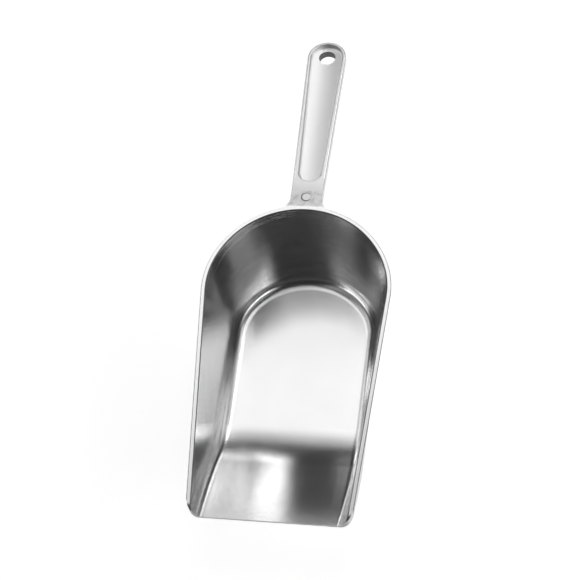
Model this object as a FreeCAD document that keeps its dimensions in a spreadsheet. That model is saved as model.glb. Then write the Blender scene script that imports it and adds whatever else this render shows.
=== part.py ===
import FreeCAD, Part
import os
from math import asin, atan2, cos, pi, sin, sqrt, tan

import Sketcher
from FreeCAD import Placement, Rotation, Vector

# Cast aluminium ice scoop, millimetres, +Z up.
# The origin lies on the flat underside of the bowl, on the plane of symmetry, below the
# centre of the rounded back. The handle points along +Y and the pouring lip along -Y.
# One casting is modelled as two nodes, bowl and handle, that meet on a flat face at the neck.

DIMENSIONS = [
    # alias, value, meaning
    ("wall", 2.7, "thickness of the bowl's wall at the rim, measured level"),
    ("wall_foot", 0.8, "how far the outer wall stands out beyond the inner floor at the underside"),
    ("floor_thick", 3.0, "thickness of the bowl's flat floor"),
    ("floor_half", 42.1, "half width of the inner floor, to the corner before its fillet"),
    ("floor_back", 37.4, "depth of the rounded back of the inner floor"),
    ("floor_corner", 33.0, "radius where the side of the floor turns into its back"),
    ("rim_half", 52.2, "half width of the mouth inside the rim"),
    ("rim_back", 50.3, "depth of the rounded back of the mouth"),
    ("rim_corner", 46.0, "radius where the side of the mouth turns into its back"),
    ("rim_taper", 4.2, "angle by which each side of the rim closes towards the lip"),
    ("rim_height", 57.2, "height of the rim above the origin"),
    ("rim_rise", 6.3, "angle by which the rim climbs towards the handle"),
    ("rim_bevel", 0.45, "width of the broken edges inside and outside the rim"),
    ("bend_reach", 75.6, "distance from the origin forward to the foot of the ramp"),
    ("ramp_angle", 30.2, "slope of the ramp above the floor"),
    ("lip_reach", 135.2, "distance from the origin forward to the pouring lip"),
    ("lip_edge", 1.4, "thickness of the lip"),
    ("lip_round_side", 6.0, "radius where the top of the side wall drops to the lip, in side view"),
    ("lip_round_plan", 7.0, "radius of the two front corners, in plan"),
    ("inner_fillet", 7.0, "radius between the floor or ramp and the wall, inside"),
    ("outer_fillet", 6.0, "radius between the floor and the wall, outside"),
    ("bend_fillet", 55.0, "radius between the floor and the ramp"),
    ("handle_length", 125.1, "length of the handle beyond the back of the rim"),
    ("handle_end", 12.0, "radius of the rounded end of the handle"),
    ("handle_taper", 1.45, "angle by which each side of the handle closes towards the bowl"),
    ("handle_depth", 8.0, "depth of the handle from its top face"),
    ("handle_round", 3.4, "radius along the underside of the handle"),
    ("neck_length", 10.6, "distance from the back of the rim to the face where bowl meets handle"),
    ("neck_flare", 7.0, "radius between the side of the neck and the rim"),
    ("neck_gusset", 13.0, "radius of the rib under the neck, down to the back wall"),
    ("trough_start", 18.0, "distance from the back of the rim to the near end of the trough"),
    ("trough_lip", 1.9, "width of the raised edge round the far end of the trough"),
    ("trough_near", 7.0, "radius of the near end of the trough"),
    ("trough_depth", 3.0, "depth of the trough in the handle, along its middle"),
    ("trough_belly", 40.0, "radius across the hollow floor of the trough"),
    ("trough_fillet", 1.4, "radius between the floor of the trough and its sides"),
    ("hang_setback", 10.5, "distance from the end of the handle to the middle of the hanging hole"),
    ("hang_bore", 10.4, "diameter of the hanging hole"),
    ("mark_setback", 6.3, "distance from the back of the rim to the middle of the round cast mark"),
    ("mark_size", 5.0, "diameter of the round cast mark on the neck"),
    ("mark_groove", 0.5, "width and depth of the groove round that mark"),
    ("edge_round", 0.7, "radius on the top edges of the handle"),
    ("margin", 6.0, "how far a cutting shape runs past the metal it removes"),
]

DEGREE = pi / 180

doc = FreeCAD.newDocument("IceScoop")
sheet = doc.addObject("Spreadsheet::Sheet", "Dimensions")
for row, (alias, value, meaning) in enumerate(DIMENSIONS, start=1):
    sheet.set(f"A{row}", alias)
    sheet.set(f"B{row}", str(value))
    sheet.setAlias(f"B{row}", alias)
    sheet.set(f"C{row}", meaning)
doc.recompute()


def cell(alias):
    """Return the expression that reads one dimension from the sheet."""
    return f"Dimensions.{alias}"


def number(expression):
    """Return the value of an expression now, for the first position of a sketch."""
    result = sheet.evalExpression(expression)
    return float(getattr(result, "Value", result))


# Places that several features share.
RIM_SLOPE = f"tan({cell('rim_rise')} * 1 deg)"
RAMP_SLOPE = f"tan({cell('ramp_angle')} * 1 deg)"
HALF_RAMP_SLOPE = f"tan({cell('ramp_angle')} / 2 * 1 deg)"
RIM_STRETCH = f"cos({cell('rim_rise')} * 1 deg)"
BACK = f"(({cell('rim_back')} + {cell('wall')}) * {RIM_STRETCH})"
TOP = f"({cell('rim_height')} + {BACK} * {RIM_SLOPE})"
NECK_FACE = f"({BACK} + {cell('neck_length')})"
TIP_CENTRE = f"({BACK} + {cell('handle_length')} - {cell('handle_end')})"
HANG_CENTRE = f"({BACK} + {cell('handle_length')} - {cell('hang_setback')})"
MARK_CENTRE = f"({BACK} + {cell('mark_setback')})"
LIP_TOP = f"({cell('floor_thick')} + ({cell('lip_reach')} - {cell('bend_reach')}) * {RAMP_SLOPE})"
LIP_UNDER = f"({LIP_TOP} - {cell('lip_edge')} / cos({cell('ramp_angle')} * 1 deg))"
LIP_RIM = f"({cell('rim_height')} - {cell('lip_reach')} * {RIM_SLOPE})"
LIP_ROUND_RUN = f"({cell('lip_round_side')} / tan((45 + {cell('rim_rise')} / 2) * 1 deg))"
WALL_DRAFT = f"(({cell('rim_back')} - {cell('floor_back')}) / {TOP})"
NECK_UNDER = f"({TOP} - {cell('handle_depth')})"
OUTER_BEND = f"({cell('bend_reach')} + {cell('floor_thick')} * {HALF_RAMP_SLOPE})"


def origin_plane(body, role):
    """Return one of a body's own three origin planes."""
    return [feature for feature in body.Origin.OriginFeatures if feature.Role == role][0]


def new_sketch(body, label, role, height=None, tilt=None):
    """Start a sketch on an origin plane, raised by height and tilted about the X axis."""
    sketch = body.newObject("Sketcher::SketchObject", label)
    sketch.Label = label
    sketch.AttachmentSupport = [(origin_plane(body, role), "")]
    sketch.MapMode = "FlatFace"
    if height is not None:
        turn = number(tilt) if tilt is not None else 0.0
        rise = Vector(0, 0, number(height))
        sketch.AttachmentOffset = Placement(rise, Rotation(Vector(1, 0, 0), turn))
        sketch.setExpression("AttachmentOffset.Base.z", height)
        if tilt is not None:
            sketch.setExpression("AttachmentOffset.Rotation.Angle", tilt)
    return sketch


def bind(sketch, name, expression, kind, *where):
    """Add a dimension to a sketch and bind it to the sheet."""
    index = sketch.addConstraint(Sketcher.Constraint(kind, *where, number(expression)))
    sketch.renameConstraint(index, name)
    sketch.setExpression(f"Constraints.{name}", expression)


def bind_angle(sketch, name, expression, line):
    """Add the direction of a line, in degrees from the sketch's first axis."""
    value = FreeCAD.Units.Quantity(f"{number(expression)} deg")
    index = sketch.addConstraint(Sketcher.Constraint("Angle", line, value))
    sketch.renameConstraint(index, name)
    sketch.setExpression(f"Constraints.{name}", f"({expression}) * 1 deg")


def arc(centre, radius, start, end):
    """Return a sketch arc that runs anticlockwise between two angles in degrees."""
    circle = Part.Circle(centre, Vector(0, 0, 1), radius)
    return Part.ArcOfCircle(circle, start * DEGREE, end * DEGREE)


def back_radius(half, back, corner):
    """Return the radius of the back arc that joins two corner arcs at a given depth."""
    return f"((({half})^2 + ({back})^2 - 2 * ({half}) * ({corner})) / (2 * (({back}) - ({corner}))))"


def side_reach(half, corner, taper, reach):
    """Return the half width of a mouth outline where its straight side ends at the front."""
    turn = f"({taper} * 1 deg)"
    tangent = f"({half} - {corner} + {corner} * cos({turn}))"
    return f"({tangent} - ({reach} - {corner} * sin({turn})) * tan({turn}))"


def add_mouth_outline(body, label, half, back, corner, taper, reach, height=None, tilt=None):
    """Draw the scoop's plan: a three-arc back, two straight sides and a straight front."""
    sketch = new_sketch(body, label, "XY_Plane", height, tilt)
    half_now, back_now, corner_now = number(half), number(back), number(corner)
    taper_now, reach_now = number(taper) * DEGREE, number(reach)
    radius = back_radius(half, back, corner)
    radius_now = number(radius)
    turn = atan2(radius_now - back_now, half_now - corner_now) / DEGREE
    taper_degrees = taper_now / DEGREE
    offset = half_now - corner_now
    side_x = offset + corner_now * cos(taper_now)
    side_y = -corner_now * sin(taper_now)
    front_x = side_x - (side_y + reach_now) * tan(taper_now)
    geometry = [
        arc(Vector(0, back_now - radius_now, 0), radius_now, turn, 180 - turn),
        arc(Vector(-offset, 0, 0), corner_now, 180 - turn, 180 + taper_degrees),
        Part.LineSegment(Vector(-side_x, side_y, 0), Vector(-front_x, -reach_now, 0)),
        Part.LineSegment(Vector(-front_x, -reach_now, 0), Vector(front_x, -reach_now, 0)),
        Part.LineSegment(Vector(front_x, -reach_now, 0), Vector(side_x, side_y, 0)),
        arc(Vector(offset, 0, 0), corner_now, -taper_degrees, turn),
    ]
    sketch.addGeometry(geometry, False)
    back_arc, left_arc, left, front, right, right_arc = range(6)
    smooth = ((back_arc, left_arc), (left_arc, left), (right, right_arc), (right_arc, back_arc))
    for first, second in smooth:
        sketch.addConstraint(Sketcher.Constraint("Tangent", first, 2, second, 1))
    sketch.addConstraint(Sketcher.Constraint("Coincident", left, 2, front, 1))
    sketch.addConstraint(Sketcher.Constraint("Coincident", front, 2, right, 1))
    sketch.addConstraint(Sketcher.Constraint("Horizontal", front))
    sketch.addConstraint(Sketcher.Constraint("Symmetric", left_arc, 3, right_arc, 3, -2))
    sketch.addConstraint(Sketcher.Constraint("PointOnObject", right_arc, 3, -1))
    sketch.addConstraint(Sketcher.Constraint("Equal", left_arc, right_arc))
    bind(sketch, "corner_radius", corner, "Radius", right_arc)
    bind(sketch, "back_radius", radius, "Radius", back_arc)
    bind(sketch, "corner_offset", f"({half}) - ({corner})", "DistanceX", -1, 1, right_arc, 3)
    bind(sketch, "reach", reach, "DistanceY", front, 1, -1, 1)
    bind_angle(sketch, "left_direction", f"({taper}) - 90", left)
    bind_angle(sketch, "right_direction", f"90 - ({taper})", right)
    return sketch


def add_profile(body, label, role, corners, height=None):
    """Draw a closed outline from corners placed by expressions.

    A corner is (first, second) or (first, second, radius, side): with a radius, the edge that
    leaves the corner is an arc, whose centre lies left (1) or right (-1) of the way along it.
    """
    sketch = new_sketch(body, label, role, height)
    points = [Vector(number(corner[0]), number(corner[1]), 0) for corner in corners]
    ends = []
    for index, corner in enumerate(corners):
        start, end = points[index], points[(index + 1) % len(points)]
        if len(corner) == 2:
            sketch.addGeometry(Part.LineSegment(start, end), False)
            ends.append((1, 2))
            continue
        radius, side = number(corner[2]), corner[3]
        chord = end - start
        lift = sqrt(radius ** 2 - (chord.Length / 2) ** 2)
        normal = Vector(-chord.y, chord.x, 0) / chord.Length
        centre = (start + end) / 2 + normal * lift * side
        first, last = (start, end) if side > 0 else (end, start)
        from_angle = atan2(first.y - centre.y, first.x - centre.x)
        to_angle = atan2(last.y - centre.y, last.x - centre.x)
        sketch.addGeometry(arc(centre, radius, from_angle / DEGREE, to_angle / DEGREE), False)
        ends.append((1, 2) if side > 0 else (2, 1))
    for index, corner in enumerate(corners):
        following = (index + 1) % len(corners)
        joint = (index, ends[index][1], following, ends[following][0])
        sketch.addConstraint(Sketcher.Constraint("Coincident", *joint))
    for index, corner in enumerate(corners):
        place_point(sketch, f"corner_{index}", index, ends[index][0], corner[0], corner[1])
        if len(corner) > 2:
            bind(sketch, f"radius_{index}", corner[2], "Radius", index)
    return sketch


def place_point(sketch, name, geometry, position, first, second):
    """Bind both coordinates of a sketch point, or put it on an axis where one is zero."""
    if first == "0":
        sketch.addConstraint(Sketcher.Constraint("PointOnObject", geometry, position, -2))
    else:
        bind(sketch, f"{name}_across", first, "DistanceX", -1, 1, geometry, position)
    if second == "0":
        sketch.addConstraint(Sketcher.Constraint("PointOnObject", geometry, position, -1))
    else:
        bind(sketch, f"{name}_along", second, "DistanceY", -1, 1, geometry, position)


def add_circles(body, label, radii, centre, height):
    """Draw circles about one centre on the plane of symmetry, seen in plan."""
    sketch = new_sketch(body, label, "XY_Plane", height)
    for index, radius in enumerate(radii):
        middle = Vector(0, number(centre), 0)
        sketch.addGeometry(Part.Circle(middle, Vector(0, 0, 1), number(radius)), False)
        bind(sketch, f"radius_{index}", radius, "Radius", index)
        place_point(sketch, f"centre_{index}", index, 3, "0", centre)
    return sketch


def add_tapered_slot(body, label, near_centre, near_radius, far_centre, far_radius, height):
    """Draw a slot with two rounded ends of different radius, seen in plan."""
    sketch = new_sketch(body, label, "XY_Plane", height)
    near, far = number(near_centre), number(far_centre)
    small, large = number(near_radius), number(far_radius)
    lean = asin((large - small) / (far - near))
    lean_degrees = lean / DEGREE
    near_x, near_y = small * cos(lean), near - small * sin(lean)
    far_x, far_y = large * cos(lean), far - large * sin(lean)
    sketch.addGeometry([
        arc(Vector(0, far, 0), large, -lean_degrees, 180 + lean_degrees),
        Part.LineSegment(Vector(-far_x, far_y, 0), Vector(-near_x, near_y, 0)),
        arc(Vector(0, near, 0), small, 180 + lean_degrees, 360 - lean_degrees),
        Part.LineSegment(Vector(near_x, near_y, 0), Vector(far_x, far_y, 0)),
    ], False)
    for first in range(4):
        sketch.addConstraint(Sketcher.Constraint("Tangent", first, 2, (first + 1) % 4, 1))
    bind(sketch, "far_radius", far_radius, "Radius", 0)
    bind(sketch, "near_radius", near_radius, "Radius", 2)
    place_point(sketch, "far", 0, 3, "0", far_centre)
    place_point(sketch, "near", 2, 3, "0", near_centre)
    return sketch


def add_paddle(body, label, face, far_centre, far_radius, taper, height):
    """Draw the handle's plan: a straight near end, closing sides and a rounded far end."""
    sketch = new_sketch(body, label, "XY_Plane", height)
    near, far, large = number(face), number(far_centre), number(far_radius)
    lean = number(taper) * DEGREE
    lean_degrees = number(taper)
    far_x, far_y = large * cos(lean), far - large * sin(lean)
    near_x = far_x - (far_y - near) * tan(lean)
    sketch.addGeometry([
        arc(Vector(0, far, 0), large, -lean_degrees, 180 + lean_degrees),
        Part.LineSegment(Vector(-far_x, far_y, 0), Vector(-near_x, near, 0)),
        Part.LineSegment(Vector(-near_x, near, 0), Vector(near_x, near, 0)),
        Part.LineSegment(Vector(near_x, near, 0), Vector(far_x, far_y, 0)),
    ], False)
    sketch.addConstraint(Sketcher.Constraint("Tangent", 0, 2, 1, 1))
    sketch.addConstraint(Sketcher.Constraint("Tangent", 3, 2, 0, 1))
    sketch.addConstraint(Sketcher.Constraint("Coincident", 1, 2, 2, 1))
    sketch.addConstraint(Sketcher.Constraint("Coincident", 2, 2, 3, 1))
    sketch.addConstraint(Sketcher.Constraint("Horizontal", 2))
    bind(sketch, "end_radius", far_radius, "Radius", 0)
    place_point(sketch, "end", 0, 3, "0", far_centre)
    bind(sketch, "near_face", face, "DistanceY", -1, 1, 2, 1)
    bind_angle(sketch, "left_direction", f"({taper}) - 90", 1)
    bind_angle(sketch, "right_direction", f"90 - ({taper})", 3)
    return sketch


def add_feature(body, kind, label, sketch, length=None, **settings):
    """Add a pad or pocket from a sketch, and make it the body's tip."""
    feature = body.newObject(kind, label)
    feature.Label = label
    feature.Profile = sketch
    for name, value in settings.items():
        setattr(feature, name, value)
    if length is not None:
        feature.setExpression("Length", length)
    body.Tip = feature
    doc.recompute()
    return feature


def add_loft(body, label, lower, upper, kind="PartDesign::AdditiveLoft"):
    """Add or take away a straight loft between two sketches."""
    loft = body.newObject(kind, label)
    loft.Label = label
    loft.Profile = lower
    loft.Sections = [upper]
    loft.Ruled = True
    body.Tip = loft
    doc.recompute()
    return loft


def add_fillet(body, label, radius, wanted):
    """Round the edges of the body's tip that a test picks, with a radius from the sheet."""
    base = body.Tip
    names = [f"Edge{index}" for index, edge in enumerate(base.Shape.Edges, start=1) if wanted(edge)]
    if not names:
        raise RuntimeError(f"{label}: no edge to round")
    fillet = body.newObject("PartDesign::Fillet", label)
    fillet.Label = label
    fillet.Base = (base, names)
    fillet.setExpression("Radius", radius)
    body.Tip = fillet
    doc.recompute()
    return fillet


def cut_with(body, label, tool):
    """Cut a body with another body."""
    boolean = body.newObject("PartDesign::Boolean", label)
    boolean.Label = label
    boolean.Type = "Cut"
    boolean.setObjects([tool])
    body.Tip = boolean
    doc.recompute()
    return boolean


def lies_level(edge, height, tolerance=0.02):
    """Tell whether an edge lies in the level plane at a height."""
    box = edge.BoundBox
    return abs(box.ZMin - height) < tolerance and abs(box.ZMax - height) < tolerance


def is_bend(edge, level, reach):
    """Tell whether an edge is the straight line where a floor meets its ramp."""
    box = edge.BoundBox
    place = -number(reach)
    across = abs(box.YMin - place) < 0.05 and abs(box.YMax - place) < 0.05
    return lies_level(edge, number(level)) and across


def is_foot(edge, level, reach, slope):
    """Tell whether an edge runs along the side of a floor and its ramp, where the wall stands."""
    middle = edge.valueAt((edge.FirstParameter + edge.LastParameter) / 2)
    ramp = number(level) + max(0.0, -middle.y - number(reach)) * number(slope)
    at_side = abs(middle.x) > 0.8 * number(cell("floor_half"))
    beside = edge.BoundBox.YLength > 0.5 and abs(middle.z - ramp) < 1.6 and at_side
    return beside or lies_level(edge, number(level)) and edge.BoundBox.YMin > -0.01


def off_neck_face(edge):
    """Tell whether an edge is clear of the face where the handle meets the bowl."""
    return edge.BoundBox.YMax > number(NECK_FACE) + 0.5


def is_neck_side(edge):
    """Tell whether an edge runs along the side of the neck's underside."""
    along = edge.BoundBox.YLength > 0.5 and edge.BoundBox.YMax > number(BACK)
    return along and lies_level(edge, number(NECK_UNDER))


def outer(alias, more="0"):
    """Return a size of the bowl's outside: the cavity's size, one wall and what is added."""
    return f"({cell(alias)} + {cell('wall')} + {more})"


def foot(alias):
    """Return a size of the bowl's underside, where the wall is thinner."""
    return f"({cell(alias)} + {cell('wall_foot')})"


def mouth(alias, more):
    """Return a size of the cavity at the rim and what is added."""
    return f"({cell(alias)} + {more})"


# The cavity is the shape that the ice fills. It is a body of its own, which the bowl is cut with.
cavity = doc.addObject("PartDesign::Body", "cavity")
cavity.Label = "cavity"
CAVITY_REACH = f"({cell('lip_reach')} + {cell('margin')})"
inner_floor = add_mouth_outline(
    cavity, "inner_floor", cell("floor_half"), cell("floor_back"), cell("floor_corner"),
    "0", CAVITY_REACH, cell("floor_thick"))
inner_rim = add_mouth_outline(
    cavity, "inner_rim", cell("rim_half"), cell("rim_back"), cell("rim_corner"),
    cell("rim_taper"), f"{CAVITY_REACH} / {RIM_STRETCH}", cell("rim_height"), cell("rim_rise"))
add_loft(cavity, "cavity_loft", inner_floor, inner_rim)

RAMP_END = f"({CAVITY_REACH} + {cell('margin')})"
RAMP_END_TOP = f"({cell('floor_thick')} + ({RAMP_END} - {cell('bend_reach')}) * {RAMP_SLOPE})"
THROUGH = f"4 * {cell('rim_half')}"
inner_ramp = add_profile(cavity, "inner_ramp", "YZ_Plane", [
    (f"-{cell('bend_reach')}", cell("floor_thick")),
    (f"-{RAMP_END}", RAMP_END_TOP),
    (f"-{RAMP_END}", f"-{cell('margin')}"),
    (f"-{cell('bend_reach')}", f"-{cell('margin')}"),
])
add_feature(cavity, "PartDesign::Pocket", "ramp_cut", inner_ramp, THROUGH, Midplane=True)
add_fillet(cavity, "bend_round", cell("bend_fillet"),
           lambda edge: is_bend(edge, cell("floor_thick"), cell("bend_reach")))
add_fillet(cavity, "cavity_round", cell("inner_fillet"),
           lambda edge: is_foot(edge, cell("floor_thick"), cell("bend_reach"), RAMP_SLOPE))
BEVEL = cell("rim_bevel")
BEVEL_DEPTH = f"({cell('rim_height')} - 2 * {BEVEL} / {RIM_STRETCH})"
bevel_foot = add_mouth_outline(
    cavity, "bevel_foot", mouth("rim_half", f"-{BEVEL}"), mouth("rim_back", f"-{BEVEL}"),
    mouth("rim_corner", f"-{BEVEL}"), cell("rim_taper"), f"{CAVITY_REACH} / {RIM_STRETCH}",
    BEVEL_DEPTH, cell("rim_rise"))
bevel_mouth = add_mouth_outline(
    cavity, "bevel_mouth", mouth("rim_half", BEVEL), mouth("rim_back", BEVEL),
    mouth("rim_corner", BEVEL), cell("rim_taper"), f"{CAVITY_REACH} / {RIM_STRETCH}",
    cell("rim_height"), cell("rim_rise"))
add_loft(cavity, "inner_bevel", bevel_foot, bevel_mouth)

# The ring is what the broken outer edge of the rim takes off. The bowl is cut with it as well.
ring = doc.addObject("PartDesign::Body", "ring")
ring.Label = "ring"
RING_REACH = f"(({cell('lip_reach')} + {cell('margin')}) / {RIM_STRETCH})"
ring_plate = add_mouth_outline(
    ring, "ring_plate", outer("rim_half", cell("margin")), outer("rim_back", cell("margin")),
    outer("rim_corner", cell("margin")), cell("rim_taper"), RING_REACH,
    f"{cell('rim_height')} + {BEVEL} / {RIM_STRETCH}", cell("rim_rise"))
add_feature(ring, "PartDesign::Pad", "plate", ring_plate, f"3 * {BEVEL}", Reversed=True)
cone_foot = add_mouth_outline(
    ring, "cone_foot", outer("rim_half", BEVEL), outer("rim_back", BEVEL), outer("rim_corner", BEVEL),
    cell("rim_taper"), f"{RING_REACH} + {cell('margin')}", BEVEL_DEPTH, cell("rim_rise"))
cone_top = add_mouth_outline(
    ring, "cone_top", outer("rim_half", f"-3 * {BEVEL}"), outer("rim_back", f"-3 * {BEVEL}"),
    outer("rim_corner", f"-3 * {BEVEL}"), cell("rim_taper"), f"{RING_REACH} + {cell('margin')}",
    f"{cell('rim_height')} + 2 * {BEVEL} / {RIM_STRETCH}", cell("rim_rise"))
add_loft(ring, "ring_inside", cone_foot, cone_top, "PartDesign::SubtractiveLoft")

# The bowl: the outer shell and its ramp, the neck and its rib, then the cavity and the lip.
bowl = doc.addObject("PartDesign::Body", "bowl")
bowl.Label = "bowl"
outer_floor = add_mouth_outline(
    bowl, "outer_floor", foot("floor_half"), foot("floor_back"), foot("floor_corner"),
    "0", cell("lip_reach"))
outer_rim = add_mouth_outline(
    bowl, "outer_rim", outer("rim_half"), outer("rim_back"), outer("rim_corner"),
    cell("rim_taper"), f"{cell('lip_reach')} / {RIM_STRETCH}", cell("rim_height"), cell("rim_rise"))
add_loft(bowl, "shell", outer_floor, outer_rim)
outer_ramp = add_profile(bowl, "outer_ramp", "YZ_Plane", [
    (f"-{OUTER_BEND}", "0"),
    (f"-{cell('lip_reach')}", LIP_UNDER),
    (f"-{RAMP_END}", LIP_UNDER),
    (f"-{RAMP_END}", f"-{cell('margin')}"),
    (f"-{OUTER_BEND}", f"-{cell('margin')}"),
])
add_feature(bowl, "PartDesign::Pocket", "underside_cut", outer_ramp, THROUGH, Midplane=True)
add_fillet(bowl, "outer_bend", f"{cell('bend_fillet')} + {cell('floor_thick')}",
           lambda edge: is_bend(edge, "0", OUTER_BEND))
OUTER_SLOPE = f"({LIP_UNDER} / ({cell('lip_reach')} - {OUTER_BEND}))"
add_fillet(bowl, "outer_round", cell("outer_fillet"),
           lambda edge: is_foot(edge, "0", OUTER_BEND, OUTER_SLOPE))
cut_with(bowl, "outer_bevel", ring)

LEAN = f"({cell('handle_taper')} * 1 deg)"
NECK_RUN = f"({TIP_CENTRE} - {cell('handle_end')} * sin({LEAN}) - {NECK_FACE})"
NECK_HALF = f"({cell('handle_end')} * cos({LEAN}) - {NECK_RUN} * tan({LEAN}))"
RIM_BACK_RADIUS = back_radius(outer("rim_half"), outer("rim_back"), outer("rim_corner"))
RIM_BACK_CENTRE = f"({BACK} - {RIM_BACK_RADIUS})"
FLARE_OUT = f"({NECK_HALF} + {cell('neck_flare')})"
FLARE_REACH = f"({RIM_BACK_RADIUS} + {cell('neck_flare')})"
FLARE_RUN = f"sqrt({FLARE_REACH}^2 - {FLARE_OUT}^2)"
FLARE_START = f"({RIM_BACK_CENTRE} + {FLARE_RUN})"
FLARE_SHARE = f"({RIM_BACK_RADIUS} / {FLARE_REACH})"
FLARE_END_OUT = f"({FLARE_OUT} * {FLARE_SHARE})"
FLARE_END = f"({RIM_BACK_CENTRE} + {FLARE_RUN} * {FLARE_SHARE})"
NECK_ROOT = f"({FLARE_END} - 2 * {cell('margin')})"
neck_plan = add_profile(bowl, "neck_plan", "XY_Plane", [
    (NECK_HALF, NECK_FACE),
    (f"-{NECK_HALF}", NECK_FACE),
    (f"-{NECK_HALF}", FLARE_START, cell("neck_flare"), -1),
    (f"-{FLARE_END_OUT}", FLARE_END),
    (f"-{FLARE_END_OUT}", NECK_ROOT),
    (FLARE_END_OUT, NECK_ROOT),
    (FLARE_END_OUT, FLARE_END, cell("neck_flare"), -1),
    (NECK_HALF, FLARE_START),
], TOP)
add_feature(bowl, "PartDesign::Pad", "neck_block", neck_plan, cell("handle_depth"), Reversed=True)
add_fillet(bowl, "neck_round", cell("handle_round"), is_neck_side)
GUSSET_DROP = f"({cell('handle_depth')} + {cell('neck_gusset')})"
GUSSET_FOOT = f"({TOP} - {GUSSET_DROP})"
GUSSET_WALL = f"({BACK} - {GUSSET_DROP} * {WALL_DRAFT})"
neck_rib = add_profile(bowl, "neck_rib", "YZ_Plane", [
    (f"{GUSSET_WALL} + {cell('neck_gusset')}", NECK_UNDER, cell("neck_gusset"), 1),
    (GUSSET_WALL, GUSSET_FOOT),
    (f"{GUSSET_WALL} - {cell('wall')}", GUSSET_FOOT),
    (f"{GUSSET_WALL} - {cell('wall')}", f"{NECK_UNDER} + {cell('handle_depth')} / 2"),
    (f"{GUSSET_WALL} + {cell('neck_gusset')}", f"{NECK_UNDER} + {cell('handle_depth')} / 2"),
])
RIB_WIDTH = f"2 * ({NECK_HALF} - {cell('handle_round')})"
add_feature(bowl, "PartDesign::Pad", "rib", neck_rib, RIB_WIDTH, Midplane=True)
RIM_LINE_FRONT = f"({cell('rim_height')} - {cell('margin')} * {RIM_SLOPE})"
neck_top = add_profile(bowl, "neck_top", "YZ_Plane", [
    (BACK, TOP),
    (BACK, f"{TOP} + {cell('margin')}"),
    (f"-{cell('margin')}", f"{TOP} + {cell('margin')}"),
    (f"-{cell('margin')}", RIM_LINE_FRONT),
])
add_feature(bowl, "PartDesign::Pocket", "neck_trim", neck_top, THROUGH, Midplane=True)
cut_with(bowl, "hollow", cavity)

LIP_LEAN = f"({cell('rim_rise')} * 1 deg)"
LIP_ROUND_START = f"-{cell('lip_reach')} + {LIP_ROUND_RUN} * cos({LIP_LEAN})"
lip_side = add_profile(bowl, "lip_side", "YZ_Plane", [
    (LIP_ROUND_START, f"{LIP_RIM} + {LIP_ROUND_RUN} * sin({LIP_LEAN})", cell("lip_round_side"), 1),
    (f"-{cell('lip_reach')}", f"{LIP_RIM} - {LIP_ROUND_RUN}"),
    (f"-{CAVITY_REACH}", f"{LIP_RIM} - {LIP_ROUND_RUN}"),
    (f"-{CAVITY_REACH}", f"{LIP_RIM} + {cell('margin')}"),
    (LIP_ROUND_START, f"{LIP_RIM} + {cell('margin')}"),
])
add_feature(bowl, "PartDesign::Pocket", "lip_drop", lip_side, THROUGH, Midplane=True)
LIP_HALF = side_reach(outer("rim_half"), outer("rim_corner"), cell("rim_taper"),
                      f"{cell('lip_reach')} / {RIM_STRETCH}")
CORNER_START = f"-{cell('lip_reach')} + {cell('lip_round_plan')}"
for name, sign, side in (("right", "", -1), ("left", "-", 1)):
    corner_plan = add_profile(bowl, f"{name}_corner", "XY_Plane", [
        (f"{sign}{LIP_HALF}", CORNER_START, cell("lip_round_plan"), side),
        (f"{sign}({LIP_HALF} - {cell('lip_round_plan')})", f"-{cell('lip_reach')}"),
        (f"{sign}({LIP_HALF} - {cell('lip_round_plan')})", f"-{CAVITY_REACH}"),
        (f"{sign}({LIP_HALF} + {cell('margin')})", f"-{CAVITY_REACH}"),
        (f"{sign}({LIP_HALF} + {cell('margin')})", CORNER_START),
    ])
    add_feature(bowl, "PartDesign::Pocket", f"{name}_corner_round", corner_plan, THROUGH, Midplane=True)
MARK_RADIUS = f"{cell('mark_size')} / 2"
mark = add_circles(bowl, "mark", [MARK_RADIUS, f"{MARK_RADIUS} + {cell('mark_groove')}"], MARK_CENTRE, TOP)
add_feature(bowl, "PartDesign::Pocket", "mark_ring", mark, cell("mark_groove"))

# The trough is the shape that the handle's top is hollowed with: a slot with a rounded belly.
trough = doc.addObject("PartDesign::Body", "trough")
trough.Label = "trough"
trough_plan = add_tapered_slot(
    trough, "trough_plan", f"{BACK} + {cell('trough_start')} + {cell('trough_near')}",
    cell("trough_near"), TIP_CENTRE, f"{cell('handle_end')} - {cell('trough_lip')}", TOP)
add_feature(trough, "PartDesign::Pad", "slot", trough_plan, cell("trough_depth"), Reversed=True)
BELLY_SIDE = cell("handle_end")
BELLY_RISE = f"({cell('trough_belly')} - sqrt({cell('trough_belly')}^2 - {BELLY_SIDE}^2))"
BELLY_TOP = f"({TOP} - {cell('trough_depth')} + {BELLY_RISE})"
BELLY_FOOT = f"({TOP} - {cell('trough_depth')} - {cell('margin')})"
belly = add_profile(trough, "belly", "XZ_Plane", [
    (f"-{BELLY_SIDE}", BELLY_TOP, cell("trough_belly"), 1),
    (BELLY_SIDE, BELLY_TOP),
    (BELLY_SIDE, BELLY_FOOT),
    (f"-{BELLY_SIDE}", BELLY_FOOT),
])
add_feature(trough, "PartDesign::Pocket", "belly_cut", belly, f"4 * {cell('handle_length')}", Midplane=True)
# The fillet is limited by the lowest stretch of the trough's wall, beside its far end.
TROUGH_SIDE = f"({cell('handle_end')} - {cell('trough_lip')})"
FAR_RISE = f"({cell('trough_belly')} - sqrt({cell('trough_belly')}^2 - {TROUGH_SIDE}^2))"
FAR_WALL = f"({cell('trough_depth')} - {FAR_RISE})"
add_fillet(trough, "trough_round", f"min({cell('trough_fillet')}; 0.85 * {FAR_WALL})",
           lambda edge: edge.BoundBox.ZMax < number(TOP) - 0.05)

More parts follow.
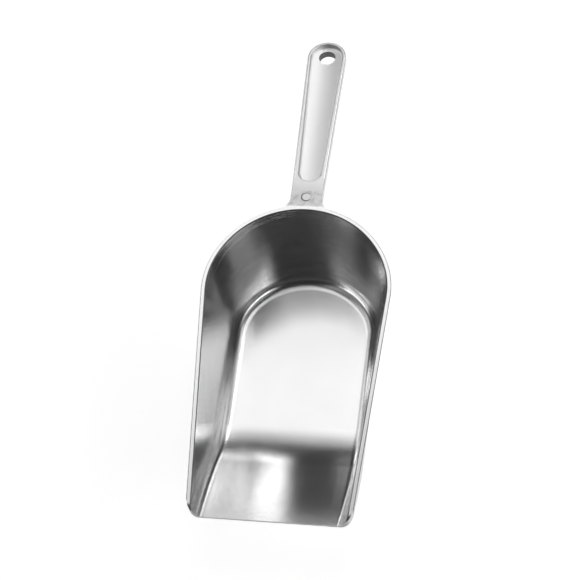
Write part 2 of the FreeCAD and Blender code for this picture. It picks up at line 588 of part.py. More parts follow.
# The handle: a tapered bar with a rounded underside, the trough along its top and a hanging hole.
handle = doc.addObject("PartDesign::Body", "handle")
handle.Label = "handle"
paddle = add_paddle(
    handle, "paddle", NECK_FACE, TIP_CENTRE, cell("handle_end"), cell("handle_taper"), TOP)
add_feature(handle, "PartDesign::Pad", "bar", paddle, cell("handle_depth"), Reversed=True)
add_fillet(handle, "bar_round", cell("handle_round"),
           lambda edge: lies_level(edge, number(NECK_UNDER)) and off_neck_face(edge))
cut_with(handle, "hollowed", trough)
hole = add_circles(handle, "hole", [f"{cell('hang_bore')} / 2"], HANG_CENTRE, TOP)
add_feature(handle, "PartDesign::Pocket", "hang_hole", hole, f"2 * {cell('handle_depth')}")
add_fillet(handle, "top_round", cell("edge_round"),
           lambda edge: lies_level(edge, number(TOP)) and off_neck_face(edge))

# Nothing is written unless every object of the document is sound.
doc.recompute()
for item in doc.Objects:
    if "Invalid" in item.State or "Error" in item.State:
        raise RuntimeError(f"{item.Label} failed: {item.State}")
os.makedirs("parts", exist_ok=True)
for node in (bowl, handle):
    if node.Shape.isNull() or not node.Shape.isValid():
        raise RuntimeError(f"{node.Label} has no sound shape")
    node.Shape.exportStep(f"parts/{node.Label}.step")
    print(node.Label, len(node.Shape.Solids), round(node.Shape.Volume, 1), node.Shape.BoundBox)
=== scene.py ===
import logging
import math
from dataclasses import dataclass
from enum import Enum
from typing import Union

import bpy
from mathutils import Matrix, Vector


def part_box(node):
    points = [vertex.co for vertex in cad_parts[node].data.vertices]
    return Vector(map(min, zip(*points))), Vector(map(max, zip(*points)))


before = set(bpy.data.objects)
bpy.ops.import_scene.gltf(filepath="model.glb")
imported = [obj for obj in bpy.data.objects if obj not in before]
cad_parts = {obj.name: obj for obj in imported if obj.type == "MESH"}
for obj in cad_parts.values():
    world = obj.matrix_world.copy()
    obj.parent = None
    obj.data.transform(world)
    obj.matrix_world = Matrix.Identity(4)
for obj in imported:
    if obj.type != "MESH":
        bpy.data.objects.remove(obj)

LOG = logging.getLogger("ice_scoop")
WHITE = (1.0, 1.0, 1.0, 1.0)
NOISE_MEAN = 0.5

Socket = bpy.types.NodeSocket
Value = Union[float, Socket]


def heading(azimuth: float, elevation: float) -> Vector:
    """Return the unit vector towards a place in the studio.

    Args:
        azimuth: degrees clockwise from the handle, seen from above.
        elevation: degrees above the floor.

    Returns:
        The direction from the scoop towards that place.
    """
    turn, lift = math.radians(azimuth), math.radians(elevation)
    return Vector((math.sin(turn) * math.cos(lift), math.cos(turn) * math.cos(lift), math.sin(lift)))


@dataclass(frozen=True)
class Step:
    """A smooth change between two values while a measure passes between two levels."""

    low: float
    high: float
    start: float = 0.0
    end: float = 1.0


@dataclass(frozen=True)
class Pattern:
    """A noise pattern: its scale per metre, its layers and the weight of the finer ones."""

    scale: float
    detail: float
    roughness: float


class Graph:
    """A small helper that adds nodes to one material or world and joins them."""

    def __init__(self, tree: bpy.types.NodeTree) -> None:
        """Empty the tree and keep it."""
        self.tree = tree
        tree.nodes.clear()

    def add(self, kind: str, **settings: object) -> bpy.types.Node:
        """Add a node.

        Args:
            kind: the node's type name without its ShaderNode prefix.
            settings: properties of the node itself.

        Returns:
            The new node.
        """
        node = self.tree.nodes.new("ShaderNode" + kind)
        for name, value in settings.items():
            setattr(node, name, value)
        return node

    def join(self, source: Socket, target: Socket) -> None:
        """Link an output to an input."""
        self.tree.links.new(source, target)

    def feed(self, target: Socket, value: Value) -> None:
        """Set an input.

        Args:
            target: the input.
            value: a number, or the output of another node.
        """
        if isinstance(value, Socket):
            self.join(value, target)
        else:
            target.default_value = value

    def math(self, operation: str, first: Value, second: Value = 0.0, clamp: bool = False) -> Socket:
        """Add a maths node.

        Args:
            operation: what the node does with its two values.
            first: the first value.
            second: the second value, where the operation has one.
            clamp: whether the result is kept between 0 and 1.

        Returns:
            The result.
        """
        node = self.add("Math", operation=operation, use_clamp=clamp)
        self.feed(node.inputs[0], first)
        self.feed(node.inputs[1], second)
        return node.outputs[0]

    def product(self, first: Value, *others: Value) -> Value:
        """Multiply values, such as the shares of several zones.

        Args:
            first: the first value.
            others: the values that it is multiplied by, in turn.

        Returns:
            The product.
        """
        for other in others:
            first = self.math("MULTIPLY", first, other)
        return first

    def swing(self, pattern: Socket) -> Socket:
        """Return a noise pattern moved so that it swings about zero."""
        return self.math("SUBTRACT", pattern, NOISE_MEAN)

    def ramp(self, value: Value, low: float, high: float, start: float = 0.0,
             end: float = 1.0) -> Socket:
        """Change smoothly from one value to another.

        Args:
            value: the measure that the change follows.
            low: the level where the change begins.
            high: the level where it ends.
            start: the value up to the low level.
            end: the value beyond the high level.

        Returns:
            The value that belongs to the measure.
        """
        node = self.add("MapRange", interpolation_type="SMOOTHSTEP")
        for socket, level in zip(node.inputs[:5], (value, low, high, start, end)):
            self.feed(socket, level)
        return node.outputs[0]

    def step(self, value: Value, step: Step) -> Socket:
        """Return the value that a named step gives to a measure."""
        return self.ramp(value, step.low, step.high, step.start, step.end)

    def noise(self, place: Socket, pattern: Pattern) -> Socket:
        """Add a noise pattern.

        Args:
            place: the coordinates that it follows.
            pattern: its scale and layers.

        Returns:
            The pattern, between 0 and 1.
        """
        node = self.add("TexNoise")
        self.join(place, node.inputs["Vector"])
        node.inputs["Scale"].default_value = pattern.scale
        node.inputs["Detail"].default_value = pattern.detail
        node.inputs["Roughness"].default_value = pattern.roughness
        return node.outputs["Fac"]

    def stretched(self, place: Socket, scale: tuple[float, float, float]) -> Socket:
        """Stretch coordinates, for streaks.

        Args:
            place: the coordinates.
            scale: their scale along each axis.

        Returns:
            The stretched coordinates.
        """
        node = self.add("Mapping")
        self.join(place, node.inputs["Vector"])
        node.inputs["Scale"].default_value = scale
        return node.outputs[0]

    def distance(self, first: Value, second: Value) -> Socket:
        """Return how far a point is from a centre, from its two offsets."""
        squares = self.math("ADD", self.product(first, first), self.product(second, second))
        return self.math("SQRT", squares)

    def blend(self, share: Value, first: Value, second: Value) -> Socket:
        """Go from one value to another.

        Args:
            share: the share of the second value.
            first: the value where the share is 0.
            second: the value where the share is 1.

        Returns:
            The value in between.
        """
        node = self.add("Mix", data_type="FLOAT")
        self.feed(node.inputs[0], share)
        self.feed(node.inputs[2], first)
        self.feed(node.inputs[3], second)
        return node.outputs[0]

    def relief(self, distance: float, strength: Value, height: Socket) -> Socket:
        """Add the fine relief of a surface.

        Args:
            distance: the depth of the relief in metres.
            strength: how much of that depth shows.
            height: the pattern that it follows.

        Returns:
            The facing of the surface with its relief.
        """
        node = self.add("Bump")
        node.inputs["Distance"].default_value = distance
        self.feed(node.inputs["Strength"], strength)
        self.join(height, node.inputs["Height"])
        return node.outputs[0]

    def metal(self, colour: Value, roughness: Value, normal: Socket) -> bpy.types.Node:
        """Add the metal's shader and join it to the output.

        Args:
            colour: the grey of the metal.
            roughness: its roughness.
            normal: its relief.

        Returns:
            The shader's node.
        """
        grey = self.add("CombineColor")
        for socket in grey.inputs[:3]:
            self.feed(socket, colour)
        shader = self.add("BsdfPrincipled")
        self.join(grey.outputs[0], shader.inputs["Base Color"])
        shader.inputs["Metallic"].default_value = 1.0
        self.feed(shader.inputs["Roughness"], roughness)
        self.feed(shader.inputs["Normal"], normal)
        self.join(shader.outputs[0], self.add("OutputMaterial").inputs["Surface"])
        return shader


def fresh_material(name: str) -> tuple[bpy.types.Material, Graph]:
    """Make an empty material.

    Args:
        name: its name.

    Returns:
        The material and the helper that fills it.
    """
    material = bpy.data.materials.new(name)
    material.use_nodes = True
    return material, Graph(material.node_tree)


@dataclass(frozen=True)
class Softbox:
    """A rectangular soft lamp that faces the scoop."""

    name: str
    azimuth: float
    elevation: float
    distance: float
    width: float
    height: float
    radiance: float

    def light(self, target: Vector) -> bpy.types.Object:
        """Make the lamp and aim it.

        Args:
            target: the point that it faces.

        Returns:
            The lamp's object.
        """
        lamp = bpy.data.lights.new(self.name, "AREA")
        lamp.shape = "RECTANGLE"
        lamp.size = self.width
        lamp.size_y = self.height
        lamp.energy = self.radiance * math.pi * self.width * self.height
        lamp_object = bpy.data.objects.new(self.name, lamp)
        bpy.context.scene.collection.objects.link(lamp_object)
        towards = heading(self.azimuth, self.elevation)
        turn = towards.to_track_quat("Z", "Y").to_matrix().to_4x4()
        lamp_object.matrix_world = Matrix.Translation(target + towards * self.distance) @ turn
        lamp_object.visible_camera = False
        return lamp_object


@dataclass
class Studio:
    """The floor, the lamps and the surroundings."""

    floor_size: float = 40.0
    floor_grey: float = 0.8
    floor_glow: float = 0.70
    lamplit_reach: float = 0.5
    lamplit_end: float = 3.0
    surround: float = 0.02
    sweep_top: float = 0.12
    sweep_fade: float = 0.10
    target: tuple[float, float, float] = (0.0, 0.0, 0.03)
    softboxes: tuple[Softbox, ...] = (
        Softbox("overhead_bank", 355.0, 66.0, 2.0, 1.4, 0.92, 1.08),
        Softbox("overhead_middle", 10.0, 50.0, 2.0, 0.60, 0.55, 1.90),
        Softbox("overhead_step_left", 348.0, 46.0, 2.0, 0.8, 0.42, 0.36),
        Softbox("overhead_step_right", 33.0, 46.0, 2.0, 1.05, 0.50, 1.10),
        Softbox("zenith_panel", 180.0, 86.0, 2.4, 1.0, 1.0, 0.42),
        Softbox("left_zenith_panel", 280.0, 74.0, 2.0, 0.65, 0.42, 0.48),
        Softbox("right_bank", 108.0, 28.0, 2.0, 1.72, 0.63, 2.15),
        Softbox("right_inner_panel", 76.0, 30.0, 2.0, 0.5, 0.65, 1.0),
        Softbox("right_high_panel", 100.0, 50.0, 2.0, 1.15, 0.8, 0.24),
        Softbox("back_right_panel", 52.0, 28.0, 2.0, 0.9, 0.5, 0.60),
        Softbox("back_right_strip", 56.0, 13.0, 2.0, 2.6, 0.56, 1.15),
        Softbox("back_strip", 350.0, 12.0, 2.0, 1.4, 0.56, 0.20),
        Softbox("left_bank", 300.0, 30.0, 2.0, 1.4, 1.05, 0.90),
        Softbox("left_high_panel", 300.0, 54.0, 2.0, 1.15, 0.58, 0.55),
        Softbox("left_panel", 262.0, 34.0, 2.0, 0.7, 1.1, 0.22),
        Softbox("front_left_panel", 232.0, 48.0, 2.0, 0.7, 1.0, 0.25),
        Softbox("front_right_panel", 135.0, 34.0, 2.0, 0.5, 0.55, 0.55),
        Softbox("right_low_strip", 100.0, 14.0, 2.0, 1.4, 0.42, 0.65),
        Softbox("front_strip", 178.0, 6.0, 2.0, 4.7, 0.35, 0.12),
    )

    def build(self) -> None:
        """Make the floor, the surroundings and every lamp."""
        LOG.info("piece %s: %.0f m square", self.lay_floor().name, self.floor_size)
        self.surround_scene()
        for softbox in self.softboxes:
            LOG.info("lamp %s: %.1f W", softbox.name, softbox.light(Vector(self.target)).data.energy)

    def lay_floor(self) -> bpy.types.Object:
        """Lay the white floor under the scoop.

        Returns:
            The floor's object.
        """
        half = self.floor_size / 2
        mesh = bpy.data.meshes.new("floor")
        corners = [(-half, -half, 0), (half, -half, 0), (half, half, 0), (-half, half, 0)]
        mesh.from_pydata(corners, [], [(0, 1, 2, 3)])
        floor = bpy.data.objects.new("floor", mesh)
        bpy.context.scene.collection.objects.link(floor)
        mesh.materials.append(self.floor_paint())
        return floor

    def floor_paint(self) -> bpy.types.Material:
        """Make the floor's white, which keeps the scoop's shadow.

        Returns:
            The floor's material.
        """
        material, graph = fresh_material("floor_white")
        path = graph.add("LightPath")
        seen = graph.math("ADD", path.outputs["Is Camera Ray"], path.outputs["Is Glossy Ray"], True)
        seen = graph.math("ADD", seen, path.outputs["Is Transmission Ray"], True)
        away = graph.add("VectorMath", operation="LENGTH")
        graph.join(graph.add("TexCoord").outputs["Object"], away.inputs[0])
        white = graph.ramp(away.outputs["Value"], self.lamplit_reach, self.lamplit_end,
                           self.floor_glow, 1.0)
        glow = graph.add("Emission")
        glow.inputs["Color"].default_value = WHITE
        graph.feed(glow.inputs["Strength"], graph.product(seen, white))
        paint = graph.add("BsdfDiffuse")
        paint.inputs["Color"].default_value = (self.floor_grey, self.floor_grey, self.floor_grey, 1.0)
        both = graph.add("AddShader")
        graph.join(glow.outputs[0], both.inputs[0])
        graph.join(paint.outputs[0], both.inputs[1])
        graph.join(both.outputs[0], graph.add("OutputMaterial").inputs["Surface"])
        return material

    def surround_scene(self) -> None:
        """Fill the surroundings: a white sweep round the table, with a dim room over it."""
        world = bpy.data.worlds.new("studio")
        bpy.context.scene.world = world
        world.use_nodes = True
        graph = Graph(world.node_tree)
        path = graph.add("LightPath")
        direction = graph.add("SeparateXYZ")
        graph.join(graph.add("TexCoord").outputs["Generated"], direction.inputs[0])
        sweep = graph.ramp(direction.outputs[2], self.sweep_top, self.sweep_top + self.sweep_fade,
                           1.0, 0.0)
        mirrored = graph.math("ADD", path.outputs["Is Glossy Ray"],
                              path.outputs["Is Transmission Ray"], True)
        white = graph.math("ADD", path.outputs["Is Camera Ray"], graph.product(mirrored, sweep), True)
        glow = graph.add("Background")
        glow.inputs["Color"].default_value = WHITE
        graph.feed(glow.inputs["Strength"], graph.blend(white, self.surround, 1.0))
        graph.join(glow.outputs[0], graph.add("OutputWorld").inputs["Surface"])


@dataclass
class Viewpoint:
    """The camera: where it stands, how it is tipped and what it aims at."""

    azimuth: float = 18.05
    elevation: float = 57.33
    roll: float = -12.84
    distance: float = 0.900
    aim_right: float = 0.00945
    aim_up: float = 0.02705
    focus_height: float = 0.003
    lens: float = 93.1
    sensor: float = 36.0
    nearest: float = 0.01

    def place(self) -> bpy.types.Object:
        """Set up the camera and make it the scene's own.

        Returns:
            The camera's object.
        """
        turn, lift, tip = (math.radians(angle) for angle in (self.azimuth, self.elevation, self.roll))
        back = Vector((math.sin(turn) * math.cos(lift), -math.cos(turn) * math.cos(lift), math.sin(lift)))
        level = Vector((math.cos(turn), math.sin(turn), 0.0))
        upright = back.cross(level)
        right = math.cos(tip) * level + math.sin(tip) * upright
        up = math.cos(tip) * upright - math.sin(tip) * level
        place = back * self.distance - right * self.aim_right + up * self.aim_up
        place.z += self.focus_height
        camera = bpy.data.cameras.new("camera")
        camera.sensor_width = self.sensor
        camera.lens = self.lens
        camera.clip_start = self.nearest
        camera_object = bpy.data.objects.new("camera", camera)
        bpy.context.scene.collection.objects.link(camera_object)
        axes = Matrix((right, up, back)).transposed().to_4x4()
        camera_object.matrix_world = Matrix.Translation(place) @ axes
        bpy.context.scene.camera = camera_object
        return camera_object


class Grain(Enum):
    """How the fine marks of a surface run: their scale along each axis, per metre."""

    ACROSS = (60.0, 3200.0, 3200.0)
    AROUND = (45.0, 45.0, 1500.0)
    PITTED = (2200.0, 2200.0, 2200.0)


@dataclass(frozen=True)
class CastFinish:
    """The look of one zone of the casting."""

    colour: float
    roughness: float
    grain: Grain
    pitting: float
    depth: float


class Spot:
    """The place and the facing of a point on the casting, as node outputs."""

    def __init__(self, graph: Graph) -> None:
        """Read the place in the scoop's frame and the way the surface faces.

        Args:
            graph: the nodes of the material.
        """
        self.place = graph.add("TexCoord").outputs["Object"]
        where = graph.add("SeparateXYZ")
        graph.join(self.place, where.inputs[0])
        self.across, self.along, self.height = where.outputs
        facing = graph.add("SeparateXYZ")
        graph.join(graph.add("NewGeometry").outputs["Normal"], facing.inputs[0])
        self.lean, self.up = facing.outputs[1], facing.outputs[2]


@dataclass(frozen=True)
class BowlMetal:
    """Bright cast aluminium: polished inside, plain outside, blasted on the neck, with dark painted shade
    on the rim's rounded edges and the front lip.
    """

    outside: CastFinish = CastFinish(0.60, 0.38, Grain.AROUND, 0.3, 0.08)
    wall: CastFinish = CastFinish(0.88, 0.18, Grain.AROUND, 0.15, 0.02)
    ramp: CastFinish = CastFinish(0.98, 0.20, Grain.ACROSS, 0.5, 0.12)
    floor: CastFinish = CastFinish(0.94, 0.24, Grain.ACROSS, 0.0, 0.01)
    rim: CastFinish = CastFinish(0.92, 0.24, Grain.PITTED, 0.0, 0.02)
    # Painted shade: a dark outline on the rim's rounded edges and the front lip's face.
    edge: CastFinish = CastFinish(0.14, 0.45, Grain.PITTED, 0.0, 0.10)
    neck: CastFinish = CastFinish(0.84, 0.40, Grain.PITTED, 0.0, 0.25)
    anisotropy: float = 0.5
    relief: float = 0.0002


@dataclass(frozen=True)
class Texture:
    """The fine marks in the bowl's metal, and how far they change its roughness and colour."""

    lines: Pattern = Pattern(1.0, 4.0, 0.65)
    cloud: Pattern = Pattern(55.0, 3.0, 0.55)
    speckle: Pattern = Pattern(950.0, 3.0, 0.7)
    mottle: Pattern = Pattern(330.0, 4.0, 0.6)
    wall_line_roughness: float = 0.20
    level_line_roughness: float = 0.05
    cloud_roughness: float = 0.06
    wall_line_tint: float = 0.34
    level_line_tint: float = 0.10
    wall_speckle: float = 0.12
    level_speckle: float = 0.02
    ramp_speckle: float = 0.18
    speckle_shade: Step = Step(0.36, 0.64, -0.5, 0.5)
    mottle_shade: Step = Step(0.30, 0.62, 0.80, 1.06)


@dataclass(frozen=True)
class Scuffs:
    """Rubbed streaks under the rim at the back left: where they lie and how rough they are."""

    pattern: Pattern = Pattern(1.0, 5.0, 0.75)
    stretch: tuple[float, float, float] = (30.0, 30.0, 1100.0)
    under_rim: Step = Step(0.014, 0.002)
    on_steep: Step = Step(0.60, 0.40)
    to_left: Step = Step(0.0, -0.018)
    to_back: Step = Step(0.0, 0.015)
    streaks: Step = Step(0.50, 0.70)
    roughness: float = 0.30


@dataclass(frozen=True)
class CastMark:
    """The disc that the mould leaves on the neck, with painted shadow in the groove round it."""

    place: float = 0.05898
    radius: float = 0.0025
    groove: float = 0.0005
    disc_blur: float = 0.0002
    inner_blur: float = 0.0001
    outer_blur: float = 0.0003
    colour: float = 0.97
    # Painted shadow in the groove, darkest on its left and bowl sides.
    groove_shadow: Step = Step(-0.0030, 0.0022, 0.16, 0.85)


@dataclass
class Bowl:
    """The cast bowl with its neck: where each of its finishes lies."""

    node: str = "bowl"
    metal: BowlMetal = BowlMetal()
    texture: Texture = Texture()
    scuffs: Scuffs = Scuffs()
    mark: CastMark = CastMark()
    rim_height: float = 0.0572
    rim_slope: float = 0.1104
    rim_depth: float = 0.0005
    rim_blur: float = 0.0004
    lip_place: float = -0.1300
    lip_blur: float = 0.001
    lip_share: float = 0.6
    neck_start: float = 0.0520
    neck_blur: float = 0.0010
    inside_up: Step = Step(0.0, 0.06)
    ramp_lean: Step = Step(0.15, 0.40)
    ramp_up: Step = Step(0.55, 0.80)
    level_up: Step = Step(0.55, 0.90)
    level_lean: Step = Step(0.40, 0.15)
    top_up: Step = Step(0.30, 0.60)
    edge_up: Step = Step(0.93, 0.84)
    lip_lean: Step = Step(-0.60, -0.85)

    def dress(self) -> bpy.types.Material:
        """Make the bowl's metal and put it on the bowl.

        Returns:
            The bowl's material.
        """
        material, graph = fresh_material("bowl_bright_aluminium")
        spot = Spot(graph)
        metal = self.metal
        rim_line = graph.math("ADD", self.rim_height, graph.product(spot.along, self.rim_slope))
        below_rim = graph.math("SUBTRACT", rim_line, spot.height)
        zones = self.zones(graph, spot, below_rim)
        level, on_ramp, on_neck = zones[metal.floor], zones[metal.ramp], zones[metal.neck]

        marks = {grain: graph.noise(graph.stretched(spot.place, grain.value), self.texture.lines)
                 for grain in Grain}
        colour: Value = metal.outside.colour
        roughness: Value = metal.outside.roughness
        depth: Value = metal.outside.depth
        lines = graph.blend(metal.outside.pitting, marks[metal.outside.grain], marks[Grain.PITTED])
        for finish, share in zones.items():
            colour = graph.blend(share, colour, finish.colour)
            roughness = graph.blend(share, roughness, finish.roughness)
            depth = graph.blend(share, depth, finish.depth)
            grain = graph.blend(finish.pitting, marks[finish.grain], marks[Grain.PITTED])
            lines = graph.blend(share, lines, grain)

        wander = self.vary_roughness(graph, spot, below_rim, lines, level)
        roughness = graph.math("ADD", roughness, wander)
        colour = self.vary_colour(graph, spot, lines, level, on_ramp, on_neck, colour)
        colour = self.paint_mark(graph, spot, on_neck, colour)

        flat = graph.math("MAXIMUM", on_ramp, level)
        brushing = graph.add("CombineXYZ")
        graph.join(flat, brushing.inputs["Y"])
        graph.join(graph.math("SUBTRACT", 1.0, flat), brushing.inputs["Z"])
        shader = graph.metal(colour, roughness, graph.relief(metal.relief, depth, lines))
        shader.inputs["Anisotropic"].default_value = metal.anisotropy
        graph.join(brushing.outputs[0], shader.inputs["Tangent"])
        dress(self.node, material)
        return material

    def zones(self, graph: Graph, spot: Spot, below_rim: Socket) -> dict[CastFinish, Socket]:
        """Find where each finish lies; the dark edge finish is painted shade on the rim's rounded edges
        and the front lip.

        Args:
            graph: the bowl's nodes.
            spot: the place and facing of a point.
            below_rim: how far the point lies under the rim.

        Returns:
            The share of each finish, in the order in which they cover each other.
        """
        up, lean, metal = spot.up, spot.lean, self.metal
        on_ramp = graph.product(graph.step(lean, self.ramp_lean), graph.step(up, self.ramp_up))
        level = graph.product(graph.step(up, self.level_up), graph.step(lean, self.level_lean))
        on_rim = graph.product(
            graph.ramp(below_rim, self.rim_depth + self.rim_blur, self.rim_depth),
            graph.step(up, self.top_up))
        on_lip = graph.product(
            graph.step(lean, self.lip_lean),
            graph.ramp(spot.along, self.lip_place, self.lip_place - self.lip_blur))
        # Painted shade: the rim's rounded edges and, in part, the front lip's face turn dark.
        on_shaded_edge = graph.math("MAXIMUM", graph.product(on_rim, graph.step(up, self.edge_up)),
                             graph.product(on_lip, self.lip_share))
        on_neck = graph.product(
            graph.ramp(spot.along, self.neck_start, self.neck_start + self.neck_blur),
            graph.step(up, self.top_up))
        return {metal.wall: graph.step(up, self.inside_up), metal.ramp: on_ramp, metal.floor: level,
                metal.rim: on_rim, metal.edge: on_shaded_edge, metal.neck: on_neck}

    def vary_roughness(self, graph: Graph, spot: Spot, below_rim: Socket, lines: Socket,
                       level: Socket) -> Socket:
        """Work out how the polishing lines, clouds and scuffs change the roughness.

        Args:
            graph: the bowl's nodes.
            spot: the place and facing of a point.
            below_rim: how far the point lies under the rim.
            lines: the polishing lines.
            level: the share of the level floor.

        Returns:
            What is added to the roughness.
        """
        texture, scuffs = self.texture, self.scuffs
        by_line = graph.blend(level, texture.wall_line_roughness, texture.level_line_roughness)
        cloud = graph.swing(graph.noise(spot.place, texture.cloud))
        wander = graph.math("ADD", graph.product(graph.swing(lines), by_line),
                            graph.product(cloud, texture.cloud_roughness))
        by_rim = graph.add("CombineXYZ")
        for socket, value in zip(by_rim.inputs, (spot.across, spot.along, below_rim)):
            graph.join(value, socket)
        streaks = graph.noise(graph.stretched(by_rim.outputs[0], scuffs.stretch), scuffs.pattern)
        near_rim = graph.product(
            graph.step(below_rim, scuffs.under_rim), graph.step(spot.up, scuffs.on_steep),
            graph.step(spot.across, scuffs.to_left), graph.step(spot.along, scuffs.to_back))
        rubbed = graph.product(graph.step(streaks, scuffs.streaks), near_rim)
        return graph.math("ADD", wander, graph.product(rubbed, scuffs.roughness))

    def vary_colour(self, graph: Graph, spot: Spot, lines: Socket, level: Socket, on_ramp: Socket,
                    on_neck: Socket, colour: Socket) -> Socket:
        """Vary the metal's colour with its lines, speckle and mottling.

        Args:
            graph: the bowl's nodes.
            spot: the place and facing of a point.
            lines: the polishing lines.
            level: the share of the level floor.
            on_ramp: the share of the ramp.
            on_neck: the share of the neck.
            colour: the plain colour.

        Returns:
            The varied colour.
        """
        texture = self.texture
        by_line = graph.blend(level, texture.wall_line_tint, texture.level_line_tint)
        by_speckle = graph.blend(on_ramp, graph.blend(level, texture.wall_speckle, texture.level_speckle),
                                 texture.ramp_speckle)
        speckle = graph.step(graph.noise(spot.place, texture.speckle), texture.speckle_shade)
        change = graph.math("ADD", graph.product(graph.swing(lines), by_line),
                            graph.product(speckle, by_speckle))
        mottle = graph.step(graph.noise(spot.place, texture.mottle), texture.mottle_shade)
        shade = graph.product(graph.math("ADD", 1.0, change), graph.blend(on_neck, 1.0, mottle))
        return graph.math("MULTIPLY", colour, shade, True)

    def paint_mark(self, graph: Graph, spot: Spot, on_neck: Socket, colour: Socket) -> Socket:
        """Brighten the cast mark's disc and paint shadow into the groove round it, darkest on its left
        and bowl sides.

        Args:
            graph: the bowl's nodes.
            spot: the place and facing of a point.
            on_neck: the share of the neck.
            colour: the colour so far.

        Returns:
            The colour with the mark.
        """
        mark = self.mark
        offset = graph.math("SUBTRACT", spot.along, mark.place)
        reach = graph.distance(spot.across, offset)
        outer = mark.radius + mark.groove
        disc = graph.product(graph.ramp(reach, mark.radius, mark.radius - mark.disc_blur), on_neck)
        ring = graph.product(
            graph.ramp(reach, mark.radius - mark.inner_blur, mark.radius + mark.inner_blur),
            graph.ramp(reach, outer + mark.outer_blur, outer))
        # Painted shadow: the groove darkens most on its left and bowl sides.
        groove_shadow = graph.step(graph.math("ADD", spot.across, offset), mark.groove_shadow)
        return graph.blend(ring, graph.blend(disc, colour, mark.colour), groove_shadow)


@dataclass(frozen=True)
class HandleMetal:
    """Blasted cast aluminium, worn bright on the lips of the trough, with painted shade in the trough's
    corners, on the outer border of the top and in the bore.
    """

    trough_colour: float = 0.99
    trough_roughness: float = 0.44
    trough_depth: float = 0.25
    lip_roughness: float = 0.26
    lip_depth: float = 0.12
    side_colour: float = 0.70
    side_roughness: float = 0.40
    shoulder_colour: float = 0.86
    # Painted shade for the trough's walls and corners, lighter past the centre of the round end.
    corner_shade: Step = Step(0.0, 0.004, 0.55, 0.80)
    # Painted shade: a dark outline on the outer border of the top.
    edge_shade_colour: float = 0.35
    # Painted shade on the hanging hole's bore wall.
    bore_shade_colour: float = 0.10
    smudge: Pattern = Pattern(120.0, 3.0, 0.6)
    smudge_stretch: tuple[float, float, float] = (1.0, 0.4, 1.0)
    smudge_tint: float = 0.07
    grain: Pattern = Pattern(1500.0, 4.0, 0.6)
    grain_tint: float = 0.12
    grain_roughness: float = 0.10
    relief: float = 0.0002


@dataclass(frozen=True)
class HandleZones:
    """The share of each zone of the handle at a point."""

    upper: Socket
    shaded_corner: Socket
    edge: Socket
    bore: Socket
    lip: Socket


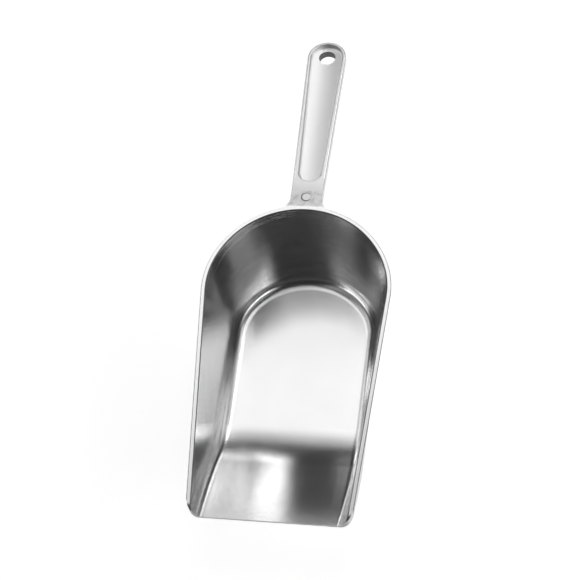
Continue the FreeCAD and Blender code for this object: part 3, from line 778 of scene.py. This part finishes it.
@dataclass
class Handle:
    """The cast handle: where each of its finishes lies."""

    node: str = "handle"
    metal: HandleMetal = HandleMetal()
    shoulder: float = 0.0633
    shoulder_length: float = 0.009
    tip_centre: float = 0.16578
    end_radius: float = 0.0120
    taper: float = 0.0253
    trough_start: float = 0.0707
    blur: float = 0.0004
    lip_width: float = 0.0013
    lip_fade: float = 0.004
    lip_outside: Step = Step(0.0003, 0.0007)
    lip_inside: Step = Step(0.0032, 0.0026)
    corner_up: Step = Step(0.86, 0.55)
    near_before: Step = Step(-0.0012, -0.0006)
    near_beyond: Step = Step(0.0090, 0.0040)
    near_up: Step = Step(0.985, 0.90)
    top_up: Step = Step(0.10, 0.50)
    edge_inset: Step = Step(0.0007, 0.0004)
    edge_up: Step = Step(0.92, 0.70)
    edge_over_side: Step = Step(0.10, 0.40)
    hang_place: float = 0.16728
    hang_radius: float = 0.0052
    bore_skin: float = 0.0001
    bore_up: Step = Step(0.60, 0.30)

    def dress(self) -> bpy.types.Material:
        """Make the handle's metal and put it on the handle.

        Returns:
            The handle's material.
        """
        material, graph = fresh_material("handle_blasted_aluminium")
        spot = Spot(graph)
        metal = self.metal
        beyond = graph.math("MAXIMUM", graph.math("SUBTRACT", spot.along, self.tip_centre), 0.0)
        zones = self.zones(graph, spot, beyond)

        top = graph.ramp(spot.along, self.shoulder, self.shoulder + self.shoulder_length,
                         metal.shoulder_colour, metal.trough_colour)
        colour = graph.blend(zones.upper, metal.side_colour, top)
        # Painted shade in the trough's walls and corners.
        colour = graph.blend(zones.shaded_corner, colour, graph.step(beyond, metal.corner_shade))
        # Painted shade: a dark outline on the outer border of the top.
        colour = graph.blend(zones.edge, colour, metal.edge_shade_colour)
        # Painted shade on the hanging hole's bore wall.
        colour = graph.blend(zones.bore, colour, metal.bore_shade_colour)
        roughness = graph.blend(zones.upper, metal.side_roughness, metal.trough_roughness)
        roughness = graph.blend(zones.lip, roughness, metal.lip_roughness)
        depth = graph.blend(zones.lip, metal.trough_depth, metal.lip_depth)

        grain = graph.swing(graph.noise(spot.place, metal.grain))
        smudges = graph.noise(graph.stretched(spot.place, metal.smudge_stretch), metal.smudge)
        shade = graph.math("ADD", graph.product(graph.swing(smudges), metal.smudge_tint),
                           graph.product(grain, metal.grain_tint))
        colour = graph.math("ADD", colour, shade, True)
        roughness = graph.math("ADD", roughness, graph.product(grain, metal.grain_roughness))
        graph.metal(colour, roughness, graph.relief(metal.relief, depth, grain))
        dress(self.node, material)
        return material

    def zones(self, graph: Graph, spot: Spot, beyond: Socket) -> HandleZones:
        """Find the upper side, the trough's corners and lips, the outer edge and the bore; the corners,
        the outer edge and the bore are masks for painted shade.

        Args:
            graph: the handle's nodes.
            spot: the place and facing of a point.
            beyond: how far the point lies beyond the centre of the round end.

        Returns:
            The share of each zone.
        """
        short = graph.math("MAXIMUM", graph.math("SUBTRACT", self.tip_centre, spot.along), 0.0)
        half = graph.math("SUBTRACT", self.end_radius, graph.product(short, self.taper))
        inset = graph.math("SUBTRACT", half, graph.distance(spot.across, beyond))
        past_lip = graph.ramp(inset, self.lip_width - self.blur, self.lip_width)
        in_trough = graph.product(
            past_lip, graph.ramp(spot.along, self.trough_start, self.trough_start + self.blur))
        past_start = graph.math("SUBTRACT", spot.along, self.trough_start)
        near_end = graph.product(
            graph.step(past_start, self.near_beyond), graph.step(past_start, self.near_before),
            past_lip, graph.step(spot.up, self.near_up))
        # Painted shade mask: the trough's tilted walls and fillets, and a band at its near end.
        shaded_corner = graph.math(
            "MAXIMUM", graph.product(in_trough, graph.step(spot.up, self.corner_up)), near_end)
        on_top = graph.step(spot.up, self.top_up)
        lip = graph.product(
            graph.step(inset, self.lip_outside), graph.step(inset, self.lip_inside),
            graph.math("SUBTRACT", on_top, in_trough, True),
            graph.ramp(spot.along, self.trough_start, self.trough_start + self.lip_fade))
        # Painted shade mask: the rounded outer border of the top.
        edge = graph.product(
            graph.step(inset, self.edge_inset), graph.step(spot.up, self.edge_up),
            graph.step(spot.up, self.edge_over_side))
        # Painted shade mask: the steep wall of the hanging hole.
        from_hole = graph.distance(spot.across, graph.math("SUBTRACT", spot.along, self.hang_place))
        bore = graph.product(
            graph.ramp(from_hole, self.hang_radius + self.blur, self.hang_radius + self.bore_skin),
            graph.step(spot.up, self.bore_up))
        upper = graph.math("MAXIMUM", on_top, in_trough)
        return HandleZones(upper=upper, shaded_corner=shaded_corner, edge=edge, bore=bore, lip=lip)


def dress(node: str, material: bpy.types.Material) -> None:
    """Give every material slot of a carried-over part one material."""
    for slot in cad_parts[node].material_slots:
        slot.material = material


def report(name: str, material: bpy.types.Material) -> None:
    """Log a carried-over part.

    Args:
        name: the part's name, which is logged with its size in millimetres.
        material: the material that it was given.
    """
    low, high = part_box(name)
    size = " x ".join(f"{(top - bottom) * 1000:.1f}" for bottom, top in zip(low, high))
    LOG.info("piece %s: %s mm, material %s", name, size, material.name)


def main() -> None:
    """Build the scene."""
    logging.basicConfig(level=logging.INFO)
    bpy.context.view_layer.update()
    for piece in (Bowl(), Handle()):
        report(piece.node, piece.dress())
    Studio().build()
    camera = Viewpoint().place()
    LOG.info("piece %s: lens %.1f mm", camera.name, camera.data.lens)
    bpy.context.scene.view_settings.view_transform = "Standard"


if __name__ == "__main__":
    main()
